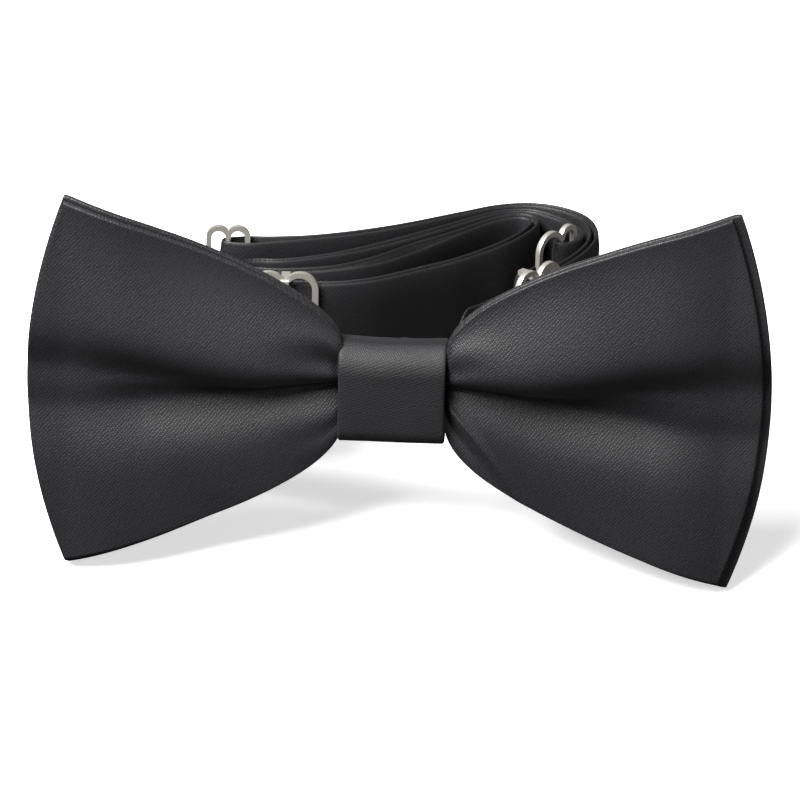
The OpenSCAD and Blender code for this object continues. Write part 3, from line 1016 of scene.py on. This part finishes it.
RIGHT_ROUTE = Route(
    (
        (0.8, 2.2, 0, 0, 5.2), (8.2, 2.2, 0, 0, 5.2), (9.7, 3.9, 0, 0, 5.8),
        (11.2, 7.8), (13, 10.2), (16, 14.2),
        (19, 18.2), (22, 22.2, 0, 2 * PLY), (25, 26.2, 0, 2 * PLY),
        (27.4, 29.4, 0, 2 * PLY), (29.8, 33.8, 0, 2 * PLY),
        (31.2, 38.8, -0.3, 0.85), (31.4, 44, -PLY, PLY),
        (29.8, 49.2, -PLY, PLY), (26.2, 52.8, -PLY, PLY), (21, 54.7, -PLY, PLY),
        (15, 53.7, -PLY, PLY), (8, 49.4, -PLY, PLY), (0, 44.2, -PLY, PLY),
        (-8, 40, -PLY, PLY), (-16, 36.8, -PLY, PLY), (-22.6, 35.1, -1, 1),
        (-27.2, 34.4, -OPEN, OPEN), (-30.6, 34.2, -FOLD, FOLD),
    ),
    return_from=9,
)


def evenly(path: Array, step: float) -> Array:
    """Spaces the rows of a path evenly along it.

    Args:
        path: X, y and half width, one row each.
        step: The distance wanted between rows.

    Returns:
        The same path with its rows that far apart.
    """
    gaps = np.linalg.norm(np.diff(path[:, :2], axis=0), axis=1)
    keep = np.concatenate([[True], gaps > 1e-6])
    path = path[keep]
    length = np.concatenate([[0], np.cumsum(np.linalg.norm(np.diff(path[:, :2], axis=0), axis=1))])
    places = np.linspace(0, length[-1], max(2, int(length[-1] / step)))
    return np.stack([np.interp(places, length, path[:, k]) for k in range(path.shape[1])], axis=-1)


@dataclass
class Strap:
    """A flat sleeve of satin that stands on edge along a path."""

    name: str
    path: Array
    thickness: float = 1.0
    wall: float = 0.28
    step: float = 0.7
    seed: float = 0.0
    pressed_width: float = 2.2
    pressed_share: float = 0.5

    def section(self, half_t: float, half_w: float) -> Array:
        """Cross-section with round folds: how far across the thickness and up each point lies.

        Args:
            half_t: Half its thickness.
            half_w: Half its width.

        Returns:
            One row for each point.
        """
        turn = np.radians(np.linspace(0, 180, 9))
        top = [(half_t * math.cos(a), half_w - half_t + half_t * math.sin(a)) for a in turn]
        rise = np.linspace(1, -1, 9)[1:-1] * (half_w - half_t)
        left = [(-half_t, z) for z in rise]
        bottom = [(-x, -z) for x, z in top]
        right = [(half_t, -z) for z in rise]
        return np.array(top + left + bottom + right)

    def rings(self, half_t: float, inset: float) -> Array:
        """Rings of points along the path, at half the thickness given.

        Args:
            half_t: Half the thickness.
            inset: How far their edges lie inside the strap's.

        Returns:
            The rings, each a closed cross-section.
        """
        path = evenly(self.path, self.step)
        heading = np.gradient(path[:, :2], axis=0)
        heading /= np.linalg.norm(heading, axis=1)[:, None]
        left = np.stack([-heading[:, 1], heading[:, 0]], axis=-1)
        length = np.arange(len(path)) * self.step
        rings = []
        for (x, y, half), n, s in zip(path, left, length):
            section = self.section(half_t, half - inset)
            # a ribbon on edge never stands quite straight
            sway = 0.06 * math.sin(s / 9.5 + self.seed) + 0.03 * math.sin(s / 4.1 + 2 * self.seed)
            lean = 0.05 * math.sin(s / 7.3 + self.seed)
            near_fold = (np.abs(section[:, 1]) - half + self.pressed_width) / self.pressed_width
            pressed = 1 - self.pressed_share * smooth(near_fold)
            off = section[:, 0] * pressed + lean * section[:, 1] / half
            rings.append(np.stack([x + n[0] * off, y + n[1] * off, section[:, 1] + sway], axis=-1))
        return np.array(rings)

    def build(self, finish: Finish) -> Piece:
        """Makes the sleeve with its inside, closed at both raw ends. Without a wall it is solid.

        Args:
            finish: What it is made of.

        Returns:
            The piece.
        """
        outer = self.rings(self.thickness / 2, 0.0)
        rows, count = outer.shape[:2]
        around = np.concatenate([[0], np.cumsum(np.linalg.norm(np.diff(outer[0], axis=0), axis=1))])
        coords = np.array([(i * self.step, a) for i in range(rows) for a in around])
        faces = grid_quads(rows, count, 0, True, wrap=True)
        last = (rows - 1) * count
        if not self.wall:
            faces += [tuple(range(count)), tuple(range(last + count - 1, last - 1, -1))]
            return make_piece(self.name, outer.reshape(-1, 3), faces, coords, finish)
        inner = self.rings(self.thickness / 2 - self.wall, self.wall)
        total = rows * count
        faces += grid_quads(rows, count, total, False, wrap=True)
        for j in range(count):
            k = (j + 1) % count
            faces.append((j, k, total + k, total + j))
            faces.append((last + k, last + j, total + last + j, total + last + k))
        points = np.concatenate([outer.reshape(-1, 3), inner.reshape(-1, 3)])
        return make_piece(self.name, points, faces, np.concatenate([coords, coords]), finish)

    def length(self) -> float:
        """Length of the path in millimetres."""
        return float(np.linalg.norm(np.diff(self.path[:, :2], axis=0), axis=1).sum())


@dataclass
class Slider:
    """A stamped slider and the end of the band sewn round its bar."""

    name: str
    at: tuple[float, float]
    turn: float
    band_t: float = 1.0
    bar_r: float = 0.45
    leg: float = 4.6

    def loop_path(self) -> Array:
        """The sewn end of the band, round the bar and back to where the return run starts.

        Returns:
            X, y and half width, one row each.
        """
        low = 2 * PLY
        bend = self.bar_r + 0.05 + self.band_t / 2
        centre = low + bend
        turns = np.radians(np.linspace(0, 180, 15))
        rows = [(x, centre + bend, HALF) for x in np.linspace(self.leg, 0.4, 8)]
        rows += [(-bend * math.sin(a), centre + bend * math.cos(a), HALF) for a in turns]
        rows += [(x, low, HALF) for x in np.linspace(0.4, self.leg, 8)]
        return self.local(np.array(rows))

    def local(self, points: Array) -> Array:
        """Moves points, or places with a third number, from the slider's own axes to the bow's.

        Args:
            points: One row each.

        Returns:
            The same rows, with x and y moved.
        """
        a = math.radians(self.turn)
        x = self.at[0] + points[:, 0] * math.cos(a) - points[:, 1] * math.sin(a)
        y = self.at[1] + points[:, 0] * math.sin(a) + points[:, 1] * math.cos(a)
        return np.stack([x, y, points[:, 2]], axis=-1)


@dataclass
class BandHalf:
    """One half of the neckband: the coiled strap with its lining, and the lead to its slider.

    Args:
        side: Which half it is.
        route: How it is coiled.
        slider: The slider on it.
        lead_points: How many route points the lead takes up.
        cut_width: Width of the satin before it is folded, mm. Not used.
        lining_width: Width of the lining ribbon. Not used.
        lining_inset: How far the lining's edges lie inside the strap's.
        lining_t: Thickness of the lining.
        overlap: How many steps the lead runs on inside the strap.
    """

    side: Side
    route: Route
    slider: Slider
    lead_points: int
    cut_width: float = 34.4
    lining_width: float = 12.0
    lining_inset: float = 2.2
    lining_t: float = 0.34
    overlap: int = 2

    def build(self) -> list[Piece]:
        """Makes the straps and ties the strap and its lining to the frame; the lead is left untied.

        Returns:
            The strap, its lining and the lead.
        """
        word = self.side.name.lower()
        lead_end = self.route.return_from + self.lead_points
        fixed = self.route.run(2, 0)
        tail = self.route.run(3, lead_end)[::-1]
        strap = Strap(
            f"{word}_band_strap",
            np.concatenate([fixed, self.route.round_the_bar(), tail]),
            seed=1.0 + self.side.value,
        )
        lead_run = self.route.run(3, self.route.return_from, lead_end + 1)
        cut = self.route.steps * self.lead_points + 1 + self.overlap
        lead = Strap(f"{word}_slider_loop_strap", np.concatenate([self.slider.loop_path(), lead_run[:cut]]))
        narrowed = fixed - np.array([0.0, 0.0, self.lining_inset])
        lining = Strap(f"{word}_band_lining_cloth", narrowed, self.lining_t, 0.0, seed=strap.seed)
        cover, run = f"{word}_band_cover", f"{word}_return_run"
        made = []
        for part, finish, slot, nodes, width, held_by in (
            (strap, SHADED_STRAP_SATIN, "band_satin", (cover, run), self.cut_width, "knot_wrap"),
            (lining, INTERLINING, "interlining", (f"{word}_band_interlining",), self.lining_width, cover),
            (lead, SHADED_STRAP_SATIN, "band_satin", (f"{word}_slider_loop",), self.cut_width, f"{word}_slider"),
        ):
            piece = part.build(finish)
            if part is lead:
                still = AXES.place(np.array([*lead.path[-1, :2], 0.0]))
                moving = AXES.place(np.array([*lead_run[0, :2], 0.0]))
                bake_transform(piece)
            else:
                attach(piece, FIXED_BODY)
            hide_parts(*nodes)
            part.length() * MM
            made.append(piece)
        return made


# ---- sewing ----


@dataclass
class StitchRow:
    """A row of hand stitches, each a short arc of thread whose ends dip into the cloth.

    Args:
        name: The row's name.
        node: The frame node that it replaces.
        body: The body that it rides on.
        middles: The middle of each stitch.
        run: Direction of every stitch.
        out: Direction away from the cloth.
        length: Length of a stitch, mm.
        radius: Radius of the thread, mm.
    """

    name: str
    node: str
    body: str
    middles: Array
    run: Array
    out: Array
    length: float
    radius: float = 0.11
    rings: int = 9
    sides: int = 8

    def build(self) -> Piece:
        """Makes the row as one piece and ties it to the frame.

        Returns:
            The piece.
        """
        run = self.run / np.linalg.norm(self.run)
        out = self.out / np.linalg.norm(self.out)
        across = np.cross(run, out)
        along = np.linspace(-0.5, 0.5, self.rings)
        points, faces = [], []
        for number, middle in enumerate(self.middles):
            first = len(points)
            tilt = 0.06 * math.sin(2.3 * number + len(self.name))
            for t in along:
                centre = middle + run * t * self.length + across * tilt * t * self.length
                centre = centre + out * (0.12 * math.cos(math.pi * t) - 0.1)
                thick = self.radius * (1 - 0.35 * abs(2 * t) ** 4)
                for k in range(self.sides):
                    a = 2 * math.pi * k / self.sides
                    points.append(centre + thick * (across * math.cos(a) + out * math.sin(a)))
            faces += grid_quads(self.rings, self.sides, first, False, wrap=True)
            last = first + (self.rings - 1) * self.sides
            faces.append(tuple(range(first + self.sides - 1, first - 1, -1)))
            faces.append(tuple(range(last, last + self.sides)))
        array = np.array(points)
        piece = make_piece(self.name, array, faces, array[:, :2], THREAD)
        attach(piece, self.body)
        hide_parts(self.node)
        return piece


def sew(knot: Knot, sliders: list[Slider]) -> list[Piece]:
    """Sews the knot shut underneath, the band to the waist, and each band end round its slider.

    Args:
        knot: The knot.
        sliders: Both sliders.

    Returns:
        The rows of stitches.
    """
    below = -knot.drop - knot.height / 2 - 0.05
    band_y, band_half_t, clear = 2.2, 0.5, 0.1
    anchor_back = band_y + band_half_t + clear
    knot_seam = np.array([(2.6 * i, knot.centre_y + 0.8, below) for i in range(-2, 3)])
    anchors = np.array([(side * 4.0, anchor_back, 1.8 * i) for side in (-1, 1) for i in range(-2, 3)])
    rows = [
        StitchRow(
            "knot_seam_thread", "knot_seam_stitches", FIXED_BODY, knot_seam,
            np.array((1.0, 0, 0)), np.array((0, 0, -1.0)), 1.6,
        ).build(),
        StitchRow(
            "band_anchor_thread", "band_anchor_stitches", FIXED_BODY, anchors,
            np.array((1.0, 0, 0)), np.array((0, 1.0, 0)), 4.0,
        ).build(),
    ]
    for slider in sliders:
        tuck_back = 2 * PLY + 2 * (slider.bar_r + 0.05 + slider.band_t / 2) + slider.band_t / 2
        local = np.array([(slider.leg - 1.2, tuck_back + 0.08, 1.1 * i) for i in range(-6, 7)])
        slant = math.radians(35)
        ends = np.array([(0.0, 0, 0), (math.sin(slant), 0, math.cos(slant)), (0, 1.0, 0)])
        start, run, out = slider.local(ends)
        rows.append(
            StitchRow(
                f"{slider.name}_thread", f"{slider.name}_stitches", f"{slider.name}_body",
                slider.local(local), run - start, out - start, 1.3,
            ).build()
        )
    return rows


# ---- frame nodes that stay ----


def dress_metal() -> None:
    """Rounds the stamped metal's edges and plates it."""
    for name in ("left_slider", "right_slider", "hook", "eye"):
        piece = frame["nodes"][name]
        weld = piece.modifiers.new("join_facets", "WELD")
        weld.merge_threshold = 0.002 * MM
        bevel = piece.modifiers.new("tumbled_edges", "BEVEL")
        bevel.width = 0.26 * MM
        bevel.segments = 3
        bevel.limit_method = "ANGLE"
        bevel.angle_limit = math.radians(35)
        bevel.harden_normals = True
        dress(name, NICKEL)


def dress(name: str, finish: Finish) -> None:
    """Puts a finish on every slot of a piece that came with the frame."""
    for slot in frame["nodes"][name].material_slots:
        slot.material = finish.material()


# ---- studio ----


@dataclass
class Studio:
    """Camera, softboxes and a sheet of white paper."""

    azimuth: float = 2.7
    elevation: float = 24.4
    roll: float = 1.05
    distance: float = 1006.0
    lens: float = 275.0
    aim: tuple[float, float, float] = (0.0, -7.0, 0.0)
    aim_right: float = 1.1
    aim_down: float = 2.0

    def camera(self) -> None:
        """Stands the camera in front of the bow, a little above it."""
        a, e = math.radians(self.azimuth), math.radians(self.elevation)
        toward = np.array((math.sin(a) * math.cos(e), -math.cos(a) * math.cos(e), math.sin(e)))
        level = np.array((math.cos(a), math.sin(a), 0.0))
        above = np.cross(level, -toward)
        turn = math.radians(self.roll)
        right = level * math.cos(turn) + above * math.sin(turn)
        up = above * math.cos(turn) - level * math.sin(turn)
        target = np.array(self.aim) + right * self.aim_right - up * self.aim_down
        data = bpy.data.cameras.new("camera")
        data.sensor_fit = "HORIZONTAL"
        data.sensor_width = 36.0
        data.lens = self.lens
        data.clip_start = 0.01
        data.clip_end = 20.0
        camera = bpy.data.objects.new("camera", data)
        axes = AXES.place(np.array([right, up, toward])) - AXES.place(np.zeros(3))
        camera.location = Vector(AXES.place(target + toward * self.distance))
        camera.rotation_euler = Matrix((axes / MM).T.tolist()).to_euler()
        link(camera)
        bpy.context.scene.camera = camera

    def softbox(self, name: str, place: tuple, size: tuple, watts: float) -> None:
        """Hangs one rectangular light that faces the bow.

        Args:
            name: Its name.
            place: Where it hangs, metres.
            size: Its width and height.
            watts: Its power.
        """
        data = bpy.data.lights.new(name, "AREA")
        data.shape = "RECTANGLE"
        data.size, data.size_y = size
        data.energy = watts
        light = bpy.data.objects.new(name, data)
        light.location = Vector(place)
        light.rotation_euler = (AXES.origin - light.location).to_track_quat("-Z", "Y").to_euler()
        link(light)

    def build(self) -> None:
        """Sets the whole studio up."""
        self.camera()
        bpy.context.scene.view_settings.view_transform = "Standard"
        world = bpy.data.worlds.new("studio_air")
        world.use_nodes = True
        tree = world.node_tree
        background = tree.nodes["Background"]
        background.inputs["Color"].default_value = linear("#f4f5f7")
        seen = add_node(tree, "LightPath").outputs["Is Camera Ray"]
        strength = add_node(tree, "MapRange", {"Value": seen, "To Min": 0.07, "To Max": 1.1})
        tree.links.new(strength.outputs["Result"], background.inputs["Strength"])
        bpy.context.scene.world = world
        self.softbox("top_softbox", (-0.45, -0.1, 0.95), (0.6, 0.45), 31.0)
        self.softbox("side_softbox", (0.75, -0.35, 0.45), (0.5, 0.5), 1.6)
        self.softbox("front_card", (0.0, -0.75, 0.75), (1.5, 0.5), 0.7)
        span, clear = 6.0, 0.0006
        grid = np.array([(x, y, 0.0) for y in (-span, span) for x in (-span, span)])
        mesh = bpy.data.meshes.new("paper")
        mesh.from_pydata(grid.tolist(), [], [(0, 1, 3, 2)])
        mesh.materials.append(Paper("matt_paper").material())
        floor = bpy.data.objects.new("paper", mesh)
        floor.location.z = CAD_BOX[0][2] - clear
        floor.visible_diffuse = False
        floor.visible_glossy = False
        link(floor)


def main() -> None:
    """Builds the bow tie's looks in order and reports each piece."""
    logging.basicConfig(level=logging.INFO, format="%(name)s: %(message)s")
    Studio().build()
    shape = WingShape()
    pieces = BowLayer("front_bow", shape, WING_SATIN).build()
    pieces += BowLayer(
        "back_bow", shape, WING_SATIN, inset=-0.8, shift=(0.7, -0.2, -0.4), behind_waist=1.35, behind_tip=1.3
    ).build()
    knot = Knot()
    pieces += knot.build()
    # each slider sits on its route, turned the way that the route runs there
    left = Slider("left_slider", (-19.6, 16.2), 0.0)
    right = Slider("right_slider", (21.7, 21.8), math.degrees(math.atan2(4, 3)))
    pieces += sew(knot, [left, right])
    pieces += BandHalf(Side.LEFT, LEFT_ROUTE, left, 4).build()
    pieces += BandHalf(Side.RIGHT, RIGHT_ROUTE, right, 2).build()
    dress_metal()
    dress("waist_binding_thread", THREAD)
    for piece in pieces:
        LOG.info("%s: %d faces", piece.name, len(piece.data.polygons))


if __name__ == "__main__":
    main()
